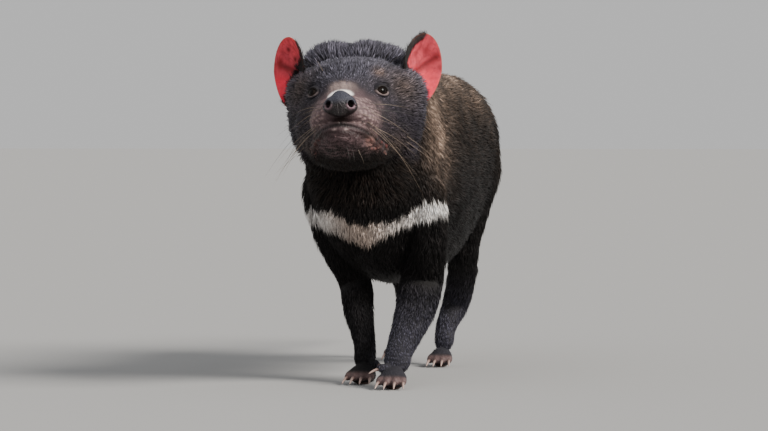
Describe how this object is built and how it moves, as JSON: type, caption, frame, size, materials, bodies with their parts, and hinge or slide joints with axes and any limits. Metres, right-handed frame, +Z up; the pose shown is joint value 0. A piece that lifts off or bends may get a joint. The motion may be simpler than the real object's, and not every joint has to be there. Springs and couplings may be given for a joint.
{
  "type": "tasmanian devil figure",
  "caption": "Life-size figure of a stocky black carnivorous marsupial in mid-walk, head raised, with rounded cupped ears, clawed paws and a tapering tail.",
  "frame": {"origin": "middle of the footprint of the whole figure, on the floor under the belly", "axes": "-Y the way it faces, +X its left side, +Z up; the soles stand on z = 0"},
  "size_m": [0.1616, 0.7486, 0.3249],
  "materials": {
    "fur": "short coarse fur, black with brown tips, a white bar on the chest",
    "ear": "thin bare pink skin inside, short black fur behind",
    "nose_skin": "wet black skin",
    "eye": "wet black",
    "claw": "pale pinkish horn"
  },
  "bodies": {
    "root": {"claw_front_left_1": "claw", "claw_front_left_2": "claw", "claw_front_left_3": "claw", "claw_front_left_4": "claw", "claw_front_left_5": "claw", "claw_front_right_1": "claw", "claw_front_right_2": "claw", "claw_front_right_3": "claw", "claw_front_right_4": "claw", "claw_front_right_5": "claw", "claw_hind_left_1": "claw", "claw_hind_left_2": "claw", "claw_hind_left_3": "claw", "claw_hind_left_4": "claw", "claw_hind_right_1": "claw", "claw_hind_right_2": "claw", "claw_hind_right_3": "claw", "claw_hind_right_4": "claw", "ear_left": "ear", "ear_right": "ear", "eye_left": "eye", "eye_right": "eye", "head": "fur", "leg_front_left": "fur", "leg_front_right": "fur", "leg_hind_left": "fur", "leg_hind_right": "fur", "neck": "fur", "nose": "nose_skin", "paw_front_left": "fur", "paw_front_right": "fur", "paw_hind_left": "fur", "paw_hind_right": "fur", "tail": "fur", "torso": "fur"}
  },
  "joints": []
}
